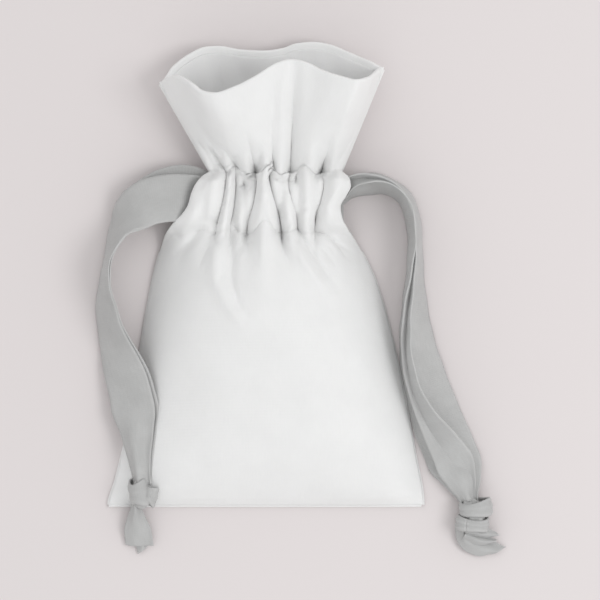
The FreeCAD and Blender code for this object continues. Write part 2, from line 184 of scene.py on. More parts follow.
def woven_material(name, dark, light, pitch_across, pitch_along, weave_bump, roughness, sheen, edge_highlight_colour,
                   through_light=0.0):
    """Cloth with threads both ways at their real pitch (mm), a cloudy colour, slubs, and a painted highlight
    that makes sharp convex edges paler.
    """
    material, nodes, links, shader = node_material(name, roughness, sheen, 0.45, through_light)
    place = add_node(nodes, "UVMap")
    place.uv_map = "cloth"
    split = add_node(nodes, "SeparateXYZ")
    links.new(place.outputs[0], split.inputs[0])

    def math_node(operation, first, second):
        node = add_node(nodes, "Math")
        node.operation = operation
        for socket, value in zip(node.inputs, (first, second)):
            if isinstance(value, (int, float)):
                socket.default_value = value
            else:
                links.new(value, socket)
        return node.outputs[0]

    threads = []
    for axis, pitch in ((0, pitch_across), (1, pitch_along)):
        turn = math_node("MULTIPLY", split.outputs[axis], 2 * math.pi / pitch)
        threads.append(math_node("SINE", turn, 0.0))
    weave = math_node("MULTIPLY", threads[0], threads[1])
    ribs = math_node("ADD", weave, math_node("MULTIPLY", threads[1], 0.6))
    cloud = add_node(nodes, "TexNoise", Scale=0.09, Detail=4.0)
    links.new(place.outputs[0], cloud.inputs["Vector"])
    slub = add_node(nodes, "TexNoise", Scale=1.6, Detail=3.0)
    stretch = add_node(nodes, "Mapping", Scale=(1.0, 0.18, 1.0))
    links.new(place.outputs[0], stretch.inputs["Vector"])
    links.new(stretch.outputs[0], slub.inputs["Vector"])
    mixed = 0.0
    for source, amount in ((cloud.outputs["Fac"], 0.6), (slub.outputs["Fac"], 0.25), (ribs, 0.035)):
        mixed = math_node("ADD", mixed, math_node("MULTIPLY", source, amount))
    colour = colour_ramp(nodes, (0.2, dark), (0.6, light))
    links.new(mixed, colour.inputs[0])
    # Painted highlight: sharp convex edges, found by pointiness, are mixed halfway towards a paler colour.
    geometry = add_node(nodes, "NewGeometry")
    edge = add_node(nodes, "MapRange", From_Min=0.53, From_Max=0.62)
    links.new(geometry.outputs["Pointiness"], edge.inputs["Value"])
    edge_highlight_mix = add_node(nodes, "Mix")
    edge_highlight_mix.data_type = "RGBA"
    edge_highlight_mix.inputs["B"].default_value = (*edge_highlight_colour, 1)
    links.new(math_node("MULTIPLY", edge.outputs[0], 0.5), edge_highlight_mix.inputs["Factor"])
    links.new(colour.outputs[0], edge_highlight_mix.inputs["A"])
    links.new(edge_highlight_mix.outputs["Result"], shader.inputs["Base Color"])
    rough = add_node(nodes, "MapRange", To_Min=roughness - 0.08, To_Max=roughness + 0.08)
    links.new(slub.outputs["Fac"], rough.inputs["Value"])
    links.new(rough.outputs[0], shader.inputs["Roughness"])
    relief = add_node(nodes, "Bump", Strength=weave_bump, Distance=0.00012)
    slubs_up = math_node("MULTIPLY", slub.outputs["Fac"], 1.5)
    links.new(math_node("ADD", ribs, slubs_up), relief.inputs["Height"])
    links.new(relief.outputs[0], shader.inputs["Normal"])
    return material


# The paler edge colour given to each material below is a painted highlight on its sharp convex edges.
cotton = woven_material("white_cotton_weave", dark=(0.768, 0.769, 0.765), light=(0.812, 0.814, 0.809),
                        pitch_across=0.42, pitch_along=0.46, weave_bump=0.16, roughness=0.88, sheen=0.10,
                        edge_highlight_colour=(0.85, 0.85, 0.845), through_light=0.25)
grosgrain = woven_material("grey_ribbon_ribs", dark=(0.405, 0.406, 0.402), light=(0.502, 0.504, 0.500),
                           pitch_across=0.30, pitch_along=0.62, weave_bump=0.3, roughness=0.55, sheen=0.15,
                           edge_highlight_colour=(0.62, 0.62, 0.615))
thread = woven_material("white_thread_twist", dark=(0.76, 0.76, 0.75), light=(0.84, 0.84, 0.835),
                        pitch_across=0.5, pitch_along=0.35, weave_bump=0.5, roughness=0.8, sheen=0.1,
                        edge_highlight_colour=(0.88, 0.88, 0.88))


def finish_piece(obj, material):
    """Dresses a piece in its material."""
    obj.data.materials.clear()
    obj.data.materials.append(material)
    return obj


# ---- camera, floor and light
PICTURE_CENTRE = (10.8, -7.9)
PICTURE_WIDTH = 190.0     # what the picture shows at FOCUS_HEIGHT
CAMERA_HEIGHT = 900.0
FOCUS_HEIGHT = 5.0
SENSOR = 36.0
FLOOR_HALF = 1500.0
FLOOR_LEVEL = -0.05       # just under the table plane, so that the pouch doesn't share it
SKY_STRENGTH = 0.86

camera_data = bpy.data.cameras.new("camera")
camera_data.sensor_width = SENSOR
camera_data.lens = SENSOR * (CAMERA_HEIGHT - FOCUS_HEIGHT) / PICTURE_WIDTH
camera_data.clip_start = 0.05
camera = bpy.data.objects.new("camera", camera_data)
camera.location = Vector((*PICTURE_CENTRE, CAMERA_HEIGHT)) * MM
bpy.context.scene.collection.objects.link(camera)
bpy.context.scene.camera = camera
bpy.context.scene.view_settings.view_transform = "Standard"
bpy.context.scene.view_settings.look = "None"

floor_material, floor_nodes, floor_links, floor_shader = node_material("pale_floor", 0.9, 0.0, 0.5)
floor_noise = add_node(floor_nodes, "TexNoise", Scale=3.0)
floor_ramp = colour_ramp(floor_nodes, (0.0, (0.696, 0.655, 0.655)), (1.0, (0.704, 0.663, 0.663)))
floor_links.new(floor_noise.outputs["Fac"], floor_ramp.inputs[0])
floor_links.new(floor_ramp.outputs[0], floor_shader.inputs["Base Color"])
floor_shader.inputs["Specular IOR Level"].default_value = 0.0
corners = [(x * FLOOR_HALF, y * FLOOR_HALF, FLOOR_LEVEL) for x, y in ((-1, -1), (1, -1), (1, 1), (-1, 1))]
floor = new_mesh("floor", corners, [(0, 1, 2, 3)])
floor.data.materials.append(floor_material)

world = bpy.data.worlds.new("studio")
bpy.context.scene.world = world
world.use_nodes = True
world.node_tree.nodes["Background"].inputs["Color"].default_value = (1, 1, 1, 1)
world.node_tree.nodes["Background"].inputs["Strength"].default_value = SKY_STRENGTH


def soft_light(name, position, size, power):
    """A round lamp that looks at the pouch; position and size in metres, power in watts."""
    data = bpy.data.lights.new(name, "AREA")
    data.shape = "DISK"
    data.size = size
    data.energy = power
    light = bpy.data.objects.new(name, data)
    light.location = position
    light.rotation_euler = (-Vector(position)).to_track_quat("-Z", "Y").to_euler()
    bpy.context.scene.collection.objects.link(light)


soft_light("key", (0.58, -0.05, 0.75), size=0.45, power=2.3)
soft_light("fill", (-0.1, -0.8, 0.9), size=0.9, power=0.7)


# ---- the pouch's outline and its dome
# Each is a curve over y: the two sides' x, the height along the middle, and the heights at the side seams.
left_edge = through([(-73, -50), (-66, -48), (-56, -45.5), (-40, -41.8), (-22, -39.6), (0, -35.6),
                     (8, -33.4), (13, -31.8), (16, -29.6), (19, -26.2), (22, -24.2), (25.5, -23.2),
                     (28.5, -21.8), (31, -19.8), (33, -17.6)])
right_edge = through([(-73, 50), (-56, 47.2), (-40, 44.2), (-20, 40), (-2, 34.8), (3, 32.6), (9.5, 29.2),
                      (15, 25.8), (18, 24.0), (21.5, 23.4), (25, 25.2), (28, 26.6), (30.5, 26.2),
                      (33, 23.8)])
crown = through([(-73, 1.4), (-70, 4.8), (-64, 9.6), (-56, 13.4), (-40, 17.4), (-18, 20.4), (0, 18.0),
                 (8, 15.0), (13.6, CHANNEL_BASE)])
edge_height = through([(-73, 0.9), (-10, 0.9), (8, 1.6), (13, 4.0), (16.5, 10.0), (20, 12.6), (29, 12.8),
                       (33, 8.0)])
back_edge_height = through([(-73, 0.3), (-10, 0.3), (8, 1.0), (13, 2.2), (20, 1.2), (29, 1.2), (33, 6.4)])
NECK_EDGE = 8.0       # the side seams' height where the header starts
arch_power = through([(-73, 8.0), (-64, 3.6), (-40, 2.9), (0, 2.3), (13.6, 3.0), (33, 4.0)])

# The pleats in the channel, from the left: each runs through these x at five heights, with its depth (-) or
# height (+) over the channel there.
PLEAT_ROWS = (LOWER_STITCH, 18.0, 24.0, 29.0, UPPER_STITCH)
PLEATS = [
    ((-22.5, -18.8, -17.6, -17.0, -14.9), (0.8, 2.4, 3.2, 2.8, -1.5)),
    ((-15.6, -14.4, -13.1, -12.6, -12.4), (-2.6, -4.6, -5.0, -5.0, -3.0)),
    ((-13.2, -12.5, -11.6, -11.2, -10.8), (-0.2, 0.4, 0.6, 0.6, 0.2)),
    ((-11.4, -11.0, -10.2, -9.8, -9.6), (-2.8, -4.0, -3.4, -1.8, -1.0)),
    ((-8.7, -7.8, -6.6, -6.5, -6.8), (1.2, 2.2, 2.8, 1.2, 0.8)),
    ((-5.9, -5.0, -3.2, -2.7, -3.2), (-3.0, -2.4, -2.2, -3.0, -3.6)),
    ((-0.6, -0.3, -0.4, -0.8, -1.0), (0.6, 1.4, 2.4, 2.0, 0.4)),
    ((5.2, 4.4, 2.3, 1.0, 2.5), (-3.0, -2.8, -2.6, -3.0, -3.4)),
    ((7.4, 6.8, 4.9, 4.2, 5.0), (0.8, 1.8, 2.4, 2.4, 1.0)),
    ((10.0, 9.6, 8.0, 7.2, 7.5), (-2.4, -1.8, -1.4, -3.0, -4.4)),
    ((12.4, 12.4, 12.8, 12.6, 12.4), (1.0, 2.2, 2.8, 2.4, 1.4)),
    ((15.4, 15.8, 17.6, 18.4, 17.4), (-2.2, -2.0, -1.4, -1.8, -3.0)),
    ((19.8, 21.2, 22.4, 22.4, 20.4), (1.2, 2.2, 2.8, 2.6, 0.6)),
]
pleat_lines = [(through(list(zip(PLEAT_ROWS, xs))), through(list(zip(PLEAT_ROWS, zs)))) for xs, zs in PLEATS]


def pleat_profile(x, y):
    """Height over the channel's level across one row, rounded on the ridges and sharp in the valleys."""
    knots = [(float(line(y)), float(level(y))) for line, level in pleat_lines]
    at = np.array([k[0] for k in knots])
    level = np.array([k[1] for k in knots])
    i = np.clip(np.searchsorted(at, x) - 1, 0, len(at) - 2)
    t = np.clip((x - at[i]) / (at[i + 1] - at[i]), 0, 1)
    low_first = level[i] < level[i + 1]
    low = np.where(low_first, level[i], level[i + 1])
    high = np.where(low_first, level[i + 1], level[i])
    rise = np.where(low_first, t, 1 - t)
    return low + (high - low) * np.sin(rise * math.pi / 2) ** 0.85


# Folds that run from the neck down into the body: (y, x) along each, (y, height) along it, half-width.
BODY_FOLDS = [
    ([(16, -13.6), (8, -15.6), (0, -15.4), (-8, -12.8), (-15, -8.6), (-24, -5)],
     [(15, 2.2), (4, 2.2), (-12, 1.0), (-22, 0)], 2.4),
    ([(16, -9.4), (8, -10.6), (0, -10.8), (-8, -8.6), (-15, -5.6)],
     [(15, -3.0), (10, -3.0), (4, -1.6), (-10, -0.6), (-16, 0)], 1.7),
    ([(16, -6.6), (11, -7.0), (6, -8.2)], [(15, -2.4), (10, -2.6), (5, 0)], 1.5),
    ([(19, -0.3), (10, -0.6), (-2, -1.2), (-20, -2)], [(19, 2.8), (12, 2.4), (0, 1.0), (-20, 0)], 3.4),
    ([(15, 5.0), (10, 5.2), (0, 8.0)], [(14, -2.0), (8, -1.2), (0, 0)], 1.6),
    ([(15, 8.0), (8, 10.2), (0, 15.0), (-8, 20.6), (-14, 24)],
     [(14, 1.6), (4, 1.3), (-6, 0.7), (-14, 0)], 2.2),
    ([(15, 10.6), (8, 13.4), (0, 18.2), (-8, 23.6)], [(14, -2.0), (6, -1.3), (-8, 0)], 1.7),
    ([(15, 15.4), (12, 19.4), (8, 25.4), (5, 29)], [(14, -1.8), (10, -1.0), (5, 0)], 1.6),
    ([(16, -20), (10, -24.0), (4, -29)], [(14, -1.6), (8, -0.8), (4, 0)], 2.4),
]
folds = [(through(sorted(line)), through(sorted(size)), width) for line, size, width in BODY_FOLDS]

# Where the stitching nips the cloth: (x, y, half-width, half-length, depth).
DENTS = [
    (-6.7, 28.8, 1.1, 1.9, 2.6), (0.9, 28.6, 0.8, 1.5, 2.2), (9.5, 30.4, 0.8, 1.8, 2.6),
    (17.6, 32.8, 1.3, 1.4, 2.4), (-3.4, 32.2, 0.9, 1.3, 2.0), (-8.9, 14.6, 1.0, 1.2, 1.8),
    (15.0, 17.6, 1.2, 1.6, 1.8), (7.2, 15.0, 0.8, 1.3, 1.2), (12.2, 20.6, 1.6, 1.2, 0.9),
    (-17.4, 17.2, 2.6, 1.2, 1.6), (21.4, 31.6, 1.2, 1.0, 1.2),
]

WAVES = 22            # crossing waves that make the pressed cotton uneven
SHORTEST_WAVE, LONGEST_WAVE = 9, 34
wave_direction = random.uniform(0, math.pi, WAVES)
wave_length = random.uniform(SHORTEST_WAVE, LONGEST_WAVE, WAVES)
wave_phase = random.uniform(0, 2 * math.pi, WAVES)


def creases(x, y):
    """Slight unevenness of pressed cotton."""
    total = 0 * x
    for a, length, phase in zip(wave_direction, wave_length, wave_phase):
        turn = 2 * math.pi * (x * np.cos(a) + y * np.sin(a)) / length + phase
        total = total + length / LONGEST_WAVE * np.sin(turn)
    return PRESSED * total


def front_height(x, y):
    """Height of the front cloth over the table, below the upper line of stitching."""
    y = np.broadcast_to(y, x.shape)
    row = float(y[0])
    left, right = float(left_edge(row)), float(right_edge(row))
    middle, half = (left + right) / 2, (right - left) / 2
    across = np.clip(np.abs(x - middle) / half, 0, 1)
    foot = float(edge_height(row))
    shape = 1 - across ** float(arch_power(row))
    z = foot + (float(crown(row)) - foot) * shape
    gathered = step(row, 2.0, LOWER_STITCH) ** 2
    inside = np.clip(shape * 2.2, 0, 1)
    up_channel = float(np.clip((row - LOWER_STITCH) / (UPPER_STITCH - LOWER_STITCH), 0, 1))
    puff = 1.3 * math.sin(math.pi * up_channel) ** 0.6
    z = z + inside * (gathered * pleat_profile(x, max(row, LOWER_STITCH)) + puff)
    for line, size, width in folds:
        z = z + inside * float(size(row)) * bump(x, float(line(row)), width)
    for stitch, wander in ((LOWER_STITCH, 0.9), (UPPER_STITCH, 1.6)):
        line = stitch + wander * np.sin(x * 0.52 + stitch) + 0.5 * wander * np.sin(x * 1.31 + 2 * stitch)
        pinch = 0.55 + 0.45 * np.sin(x * 1.02 + 0.4 * stitch)
        z = z - inside * 0.7 * pinch * np.exp(-((row - line) / 1.0) ** 2)
    for dent_x, dent_y, wide, tall, deep in DENTS:
        if abs(row - dent_y) < 3 * tall:
            z = z - inside * deep * bump(x, dent_x, wide) * math.exp(-((row - dent_y) / tall) ** 2)
    return z + inside * creases(x, y)


# ---- the mouth
# The mouth's two corners, and each rim's y and height from corner to corner, over x.
LEFT_TIP = (-33.2, 60.0, 11.0)
RIGHT_TIP = (37.0, 64.7, 11.0)
front_rim_y = through([(-33.2, 60.0), (-31, 61.0), (-28, 61.4), (-24, 59.3), (-19, 55.9), (-15.6, 55.3),
                       (-8.5, 57.6), (-3, 60.6), (4.7, 65.4), (8.4, 66.2), (12.7, 65.2), (17.7, 62.6),
                       (23, 60.8), (28.5, 59.5), (32.6, 60.9), (37.0, 64.7)])
front_rim_z = through([(-33.2, 11), (-31, 15.5), (-27, 22), (-21, 28.5), (-15, 30.8), (-8, 29.3),
                       (0, 25.6), (4, 24.2), (9, 23.7), (14, 24.6), (22, 27.6), (28, 28.2), (33, 21),
                       (37.0, 11)])
back_rim_y = through([(-33.2, 60.0), (-29, 65.3), (-24, 69.3), (-19, 71.6), (-15, 71.9), (-8, 70.8),
                      (-1, 70.4), (5, 71.2), (10, 72.8), (15, 73.2), (20.5, 72.3), (25.6, 70.1),
                      (33.2, 66.6), (37.0, 64.7)])
back_rim_z = through([(-33.2, 11), (-28, 8.6), (-18, 5.6), (-4, 6.4), (8, 4.6), (18, 4.6), (28, 7.0),
                      (37.0, 11)])


def header_row(share, u):
    """One row of the front header: share 0 at the stitching and 1 at the rim, u across it."""
    neck_x = left_edge(UPPER_STITCH) + u * (right_edge(UPPER_STITCH) - left_edge(UPPER_STITCH))
    rim_x = LEFT_TIP[0] + u * (RIGHT_TIP[0] - LEFT_TIP[0])
    neck_z = front_height(neck_x, np.full(neck_x.shape, UPPER_STITCH))
    x = neck_x + (rim_x - neck_x) * share
    y = UPPER_STITCH + (front_rim_y(rim_x) - UPPER_STITCH) * share
    edge = np.clip(1 - np.abs(2 * u - 1) ** 5.0, 0, 1)
    base = NECK_EDGE + (CHANNEL_BASE - NECK_EDGE) * edge
    rise = math.sin(share ** 1.22 * math.pi / 2)
    z = base + (front_rim_z(rim_x) - base) * rise
    z = z + (neck_z - base) * (1 - share) ** 3.6
    # The header's folds: three valleys, a ridge between them, and a short nip at the right.
    z = z - (6.5 * bump(x, -14.4 - 7.0 * share, 2.6) * step(share, 0, 0.08)
             * (1 - step(share, 0.12, 0.42)) * edge)
    z = z - 4.6 * bump(x, -2.2, 1.7) * step(share, -0.1, 0.04) * (1 - step(share, 0.06, 0.34)) * edge
    z = z - 3.6 * bump(x, 7.5 + 1.6 * share, 2.2) * (1 - 0.75 * share) * edge
    z = z + 1.4 * bump(x, 5.0 + 0.6 * share, 1.7) * (1 - step(share, 0.5, 1.0))
    z = z - 3.0 * bump(x, 17.6 + 4 * share, 1.5) * (1 - step(share, 0.0, 0.22))
    z = z + creases(x, y) * edge
    return np.stack([x, y, z], 1)


def back_header_row(share, u):
    """One row of the back header, as header_row."""
    neck_x = left_edge(UPPER_STITCH) + u * (right_edge(UPPER_STITCH) - left_edge(UPPER_STITCH))
    rim_x = LEFT_TIP[0] + u * (RIGHT_TIP[0] - LEFT_TIP[0])
    x = neck_x + (rim_x - neck_x) * share
    y = UPPER_STITCH + (back_rim_y(rim_x) - UPPER_STITCH) * share
    edge = np.clip(1 - np.abs(2 * u - 1) ** 3.0, 0, 1)
    neck_z = back_height(neck_x, np.full(neck_x.shape, UPPER_STITCH))
    base = NECK_EDGE - 0.6 - (NECK_EDGE - 1.5) * edge
    z = base + (back_rim_z(rim_x) - base) * share ** 1.3
    z = z + (neck_z - base) * (1 - share) ** 1.4
    z = z + 0.9 * np.sin(u * 9.0 + 1.0) * share * (1 - 0.5 * share) * edge + 0.6 * creases(x, y) * edge
    return np.stack([x, y, np.maximum(z, 0.5)], 1)


def back_height(x, y):
    """Height of the back cloth: flat on the table, gathered upwards in the channel."""
    row = float(np.ravel(y)[0])
    left, right = float(left_edge(row)), float(right_edge(row))
    across = np.clip(np.abs(x - (left + right) / 2) / ((right - left) / 2), 0, 1)
    foot = float(back_edge_height(row))
    gathered = step(row, 0.0, LOWER_STITCH)
    pleats = 2.3 + 2.1 * np.sin(x * 2 * math.pi / 6.2 + 0.7 * math.sin(row / 5.0))
    flat = 0.3 + gathered * pleats * np.clip((1 - across ** 6) * 2, 0, 1)
    return flat + (foot - 0.3) * across ** 7


# ---- cloth grids
COLUMNS = 170
FINE = 900            # places along a row before it is cut into equal lengths
ROUND = 0.42          # the rim turns over at this radius


def even_columns(curve):
    """Points at equal lengths along one row."""
    gaps = np.linalg.norm(np.diff(curve, axis=0), axis=1)
    along = np.concatenate([[0], np.cumsum(gaps)])
    places = np.linspace(0, along[-1], COLUMNS)
    return np.stack([np.interp(places, along, curve[:, k]) for k in range(3)], 1)


u_fine = np.linspace(0, 1, FINE)
# Rows of the grid by y, close together at the bottom seam and from the neck up.
ROW_BANDS = ((BOTTOM, -68, 10), (-68, -8, 60), (-8, 10, 28), (10, UPPER_STITCH, 56))
body_rows = np.concatenate([np.linspace(*band, endpoint=False) for band in ROW_BANDS])
header_shares = np.linspace(0, 1, 54)


def body_curve(row, height):
    """One row across a panel, below the upper line of stitching."""
    x = float(left_edge(row)) + u_fine * float(right_edge(row) - left_edge(row))
    pull = step(row, 4, LOWER_STITCH) * (1 - step(row, LOWER_STITCH, UPPER_STITCH))
    y = np.full(x.shape, row)
    z = height(x, y)
    if height is front_height:
        y = y + pull * (3.4 * bump(x, -0.3, 2.3) - 0.16 * pleat_profile(x, LOWER_STITCH))
    return np.stack([x, y, z], 1)


def cloth_grid(height, header):
    """A whole panel from the bottom seam to the rim, as rows of points."""
    rows = [even_columns(body_curve(row, height)) for row in body_rows]
    rows += [even_columns(header(share, u_fine)) for share in header_shares]
    return np.array(rows)


def flat_uv(grid):
    """Places on the flat cloth in millimetres, so that the weave keeps its size."""
    along = np.linalg.norm(np.diff(grid, axis=0), axis=2).mean(1)
    v = np.concatenate([[0], np.cumsum(along)])
    u = np.linspace(0, FLAT_WIDTH, grid.shape[1])
    return np.stack(np.broadcast_arrays(u[None, :], v[:, None]), 2)


def grid_normals(grid):
    """The direction away from the sheet at each point, upwards where it lies flat."""
    across = np.gradient(grid, axis=1)
    along = np.gradient(grid, axis=0)
    normal = np.cross(across, along)
    return normal / np.maximum(np.linalg.norm(normal, axis=2, keepdims=True), 1e-9)


def turned_rim(grid, inward):
    """Adds rows that roll the rim over towards the inside of the pouch."""
    normal = grid_normals(grid)[-1] * inward
    out = grid[-1] - grid[-3]
    out = out / np.linalg.norm(out, axis=1, keepdims=True)
    rows = []
    for angle in (40, 90, 140, 180):
        a = math.radians(angle)
        rows.append(grid[-1] + ROUND * (normal * (1 - math.cos(a)) + out * math.sin(a)))
    for back in (1.2, 2.6):
        rows.append(grid[-1] + 2 * ROUND * normal - back * out)
    return np.concatenate([grid, np.array(rows)])


def nipped(grid):
    """The lines of stitching wander where the gathers pull on them."""
    across = np.linspace(-1, 1, grid.shape[1])
    free = (1 - np.abs(across) ** 6)[None, :]
    x, y = grid[:, :, 0], grid[:, :, 1]
    upper = (1.2 * np.sin(0.58 * x + 0.9) + 0.7 * np.sin(1.15 * x)) * bump(y, UPPER_STITCH, 4.5)
    lower = 0.7 * np.sin(0.62 * x + 2.0) * bump(y, LOWER_STITCH, 3.5)
    out = grid.copy()
    out[:, :, 1] += free * (upper + lower)
    return out


front_grid = nipped(cloth_grid(front_height, header_row))
back_grid = cloth_grid(back_height, back_header_row)
stitch_row = len(body_rows)
lower_row = int(np.argmin(np.abs(body_rows - LOWER_STITCH)))
channel_row = int(np.searchsorted(body_rows, LOWER_STITCH - 0.8))
SIM_SCALE = 20.0      # the cloth is simulated this many times larger, where the solver's settings suit it
SIM_FRAMES = 50
SIM_CAP = 2.0         # no point moves further than this


def spread(values, places, count):
    """Fills in the rows between the ones at the given places."""
    every = np.arange(count)
    return np.stack([np.stack([np.interp(every, places, column) for column in values[:, :, k].T], 1)
                     for k in range(3)], 2)


def relaxed(grid):
    """Lets the spare cloth between the seams, the stitching and the rim buckle into its own creases."""
    rows = np.unique(np.concatenate([np.arange(0, len(grid), 2), [lower_row, stitch_row, len(grid) - 1]]))
    columns = np.unique(np.concatenate([np.arange(0, COLUMNS, 2), [COLUMNS - 1]]))
    coarse = grid[np.ix_(rows, columns)]
    flat = flat_uv(grid)[np.ix_(rows, columns)]
    obj = grid_mesh("relaxing", coarse * SIM_SCALE, flat)
    obj.shape_key_add(name="Basis")
    rest = obj.shape_key_add(name="flat")
    flat3 = np.concatenate([flat, 0 * flat[:, :, :1]], 2).reshape(-1) * SIM_SCALE * MM
    rest.data.foreach_set("co", flat3.astype(np.float32))
    rest.value = 0.0
    pins = obj.vertex_groups.new(name="pins")
    held = np.zeros(coarse.shape[:2], bool)
    held[:, 0] = held[:, -1] = held[0] = held[-1] = True
    held[np.isin(rows, (lower_row, stitch_row))] = True
    pins.add(np.flatnonzero(held.ravel()).tolist(), 1.0, "REPLACE")
    cloth = obj.modifiers.new("cloth", "CLOTH")
    settings = cloth.settings
    settings.quality = 6
    settings.mass = 0.3
    settings.tension_stiffness = settings.compression_stiffness = 30
    settings.shear_stiffness = 4
    settings.bending_stiffness = 0.2
    settings.air_damping = 1
    settings.vertex_group_mass = "pins"
    settings.rest_shape_key = rest
    settings.use_pressure = True
    settings.uniform_pressure_force = 1.0
    settings.effector_weights.gravity = 0.0
    cloth.collision_settings.use_self_collision = False
    cloth.point_cache.frame_start = 1
    cloth.point_cache.frame_end = SIM_FRAMES
    for frame_number in range(1, SIM_FRAMES + 1):
        bpy.context.scene.frame_set(frame_number)
    made = obj.evaluated_get(bpy.context.evaluated_depsgraph_get()).to_mesh()
    co = np.empty(len(made.vertices) * 3)
    made.vertices.foreach_get("co", co)
    move = co.reshape(coarse.shape) / (MM * SIM_SCALE) - coarse
    bpy.data.objects.remove(obj)
    bpy.context.scene.frame_set(1)
    size = np.linalg.norm(move, axis=2, keepdims=True)
    move = move * np.minimum(1, SIM_CAP / np.maximum(size, 1e-9))
    tall = spread(move, rows, len(grid))
    wide = spread(tall.transpose(1, 0, 2), columns, COLUMNS).transpose(1, 0, 2)
    print("cloth simulation moved points by up to", round(float(size.max()), 2),
          "mm, mean", round(float(size.mean()), 3))
    return grid + wide


front_grid = relaxed(front_grid)


def in_channel(y):
    """1 between the channel's two lines of stitching, falling to 0 just inside them."""
    above = step(y, LOWER_STITCH + 0.4, LOWER_STITCH + 2.4)
    below = 1 - step(y, UPPER_STITCH - 2.0, UPPER_STITCH - 0.2)
    return above * below


FACING_TRIM = 5       # columns left off at each side seam
FACING_GAP = 0.36     # room for the rim's hem between the layers


def facing_grid(grid, inward, level):
    """The turned-in layer, from just below the channel to the rim, lying flat in the channel."""
    trimmed = (slice(channel_row, -2), slice(FACING_TRIM, -FACING_TRIM))
    part = grid[trimmed]
    normal = grid_normals(grid)[trimmed] * inward
    near = part + normal * (2 * ROUND + FACING_GAP)
    flat = part.copy()
    flat[:, :, 2] = level
    inside = in_channel(part[:, :, 1:2])
    return near * (1 - inside) + flat * inside


# The ribbons need room in the channels under the front pleats' valleys and over the back pleats' crests.
front_grid[:, :, 2] += in_channel(front_grid[:, :, 1]) * np.maximum(FRONT_VALLEY - front_grid[:, :, 2], 0)
back_grid[:, :, 2] -= in_channel(back_grid[:, :, 1]) * np.maximum(back_grid[:, :, 2] - BACK_CREST, 0)


def cloth_piece(name, grid, thickness, *nodes):
    obj = grid_mesh(name, grid, flat_uv(grid))
    thicken(obj, thickness)
    finish_piece(obj, cotton)
    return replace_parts(obj, *nodes)


front_cloth = cloth_piece("front_cloth", turned_rim(front_grid, -1), CLOTH,
                          "front_panel", "front_casing", "front_lip_outer", "left_side_seam",
                          "right_side_seam", "left_neck_seam", "right_neck_seam", "left_header_seam",
                          "right_header_seam")
back_cloth = cloth_piece("back_cloth", turned_rim(back_grid, 1), CLOTH,
                         "back_panel", "back_casing", "back_lip_outer", "bottom_seam")
front_facing_cloth = cloth_piece("front_facing_cloth", facing_grid(front_grid, -1, FRONT_FACING), FACING,
                                 "front_facing", "front_lip_facing")
back_facing_cloth = cloth_piece("back_facing_cloth", facing_grid(back_grid, 1, BACK_FACING), FACING,
                                "back_facing", "back_lip_facing")
# Each panel's cloth and its facing have their placement baked into their points, in metres.
for piece in (front_cloth, front_facing_cloth):
    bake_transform(piece)
for piece in (back_cloth, back_facing_cloth):
    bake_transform(piece)


# ---- seams and stitching
def thread_line(name, points):
    """A row of short stitches along a line, each a small capsule half sunk in the cloth."""
    points = np.asarray(points)
    lengths = np.linalg.norm(np.diff(points, axis=0), axis=1)
    along = np.concatenate([[0], np.cumsum(lengths)])
    vertices, faces, uv = [], [], []
    start = STITCH / 2
    while start + STITCH < along[-1]:
        spots = np.linspace(start, start + STITCH, 5)
        line = np.stack([np.interp(spots, along, points[:, k]) for k in range(3)], 1)
        base = len(vertices)
        for k, spot in enumerate(line):
            ahead = line[min(k + 1, 4)] - line[max(k - 1, 0)]
            ahead = ahead / (np.linalg.norm(ahead) + 1e-9)
            side = np.cross(ahead, (0, 0, 1.0))
            side = side / (np.linalg.norm(side) + 1e-9)
            up = np.cross(side, ahead)
            size = THREAD_RADIUS * (0.45 if k in (0, 4) else 1.0)
            for turn in range(6):
                a = turn * math.pi / 3
                vertices.append(spot + size * (math.cos(a) * side + math.sin(a) * up))
                uv.append((turn * 0.2, spots[k]))
        for k in range(4):
            here, there = base + k * 6, base + (k + 1) * 6
            for turn in range(6):
                n = (turn + 1) % 6
                faces.append((here + turn, here + n, there + n, there + turn))
        faces.append(tuple(base + t for t in range(6)))
        faces.append(tuple(base + 24 + t for t in reversed(range(6))))
        start += STITCH + STITCH_GAP
    obj = new_mesh(name, vertices, faces, uv)
    return finish_piece(obj, thread)


SKIN = CLOTH / 2 - 0.06    # the stitches lie this far out from the middle of the cloth
for level, index in (("lower", lower_row), ("upper", stitch_row)):
    for side, grid in (("front", front_grid), ("back", back_grid)):
        line = grid[index] + grid_normals(grid)[index] * SKIN
        stitches = thread_line(f"{side}_{level}_stitches", line[3:-3])
        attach(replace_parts(stitches, f"{side}_{level}_stitching"), "pouch")


def seam_roll(name, points, radius):
    """A thin rolled edge where two cloths are sewn together and turned."""
    points = np.asarray(points)
    ring = []
    for k, spot in enumerate(points):
        ahead = points[min(k + 1, len(points) - 1)] - points[max(k - 1, 0)]
        ahead = ahead / np.linalg.norm(ahead)
        side = np.cross(ahead, (0, 0, 1.0))
        side = side / np.linalg.norm(side)
        up = np.cross(side, ahead)
        ring.append([spot + radius * (math.cos(a) * side + math.sin(a) * up)
                     for a in np.linspace(0, 2 * math.pi, 10, endpoint=False)])
    grid = np.array(ring)
    along = np.arange(len(points))[:, None] * 0.9 * np.ones((1, 10))
    around = np.linspace(0, 2 * math.pi * radius, 10)[None, :] * np.ones((len(points), 1))
    obj = grid_mesh(name, grid, np.stack([around, along], 2), closed=True)
    finish_piece(obj, cotton)
    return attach(obj, "pouch")


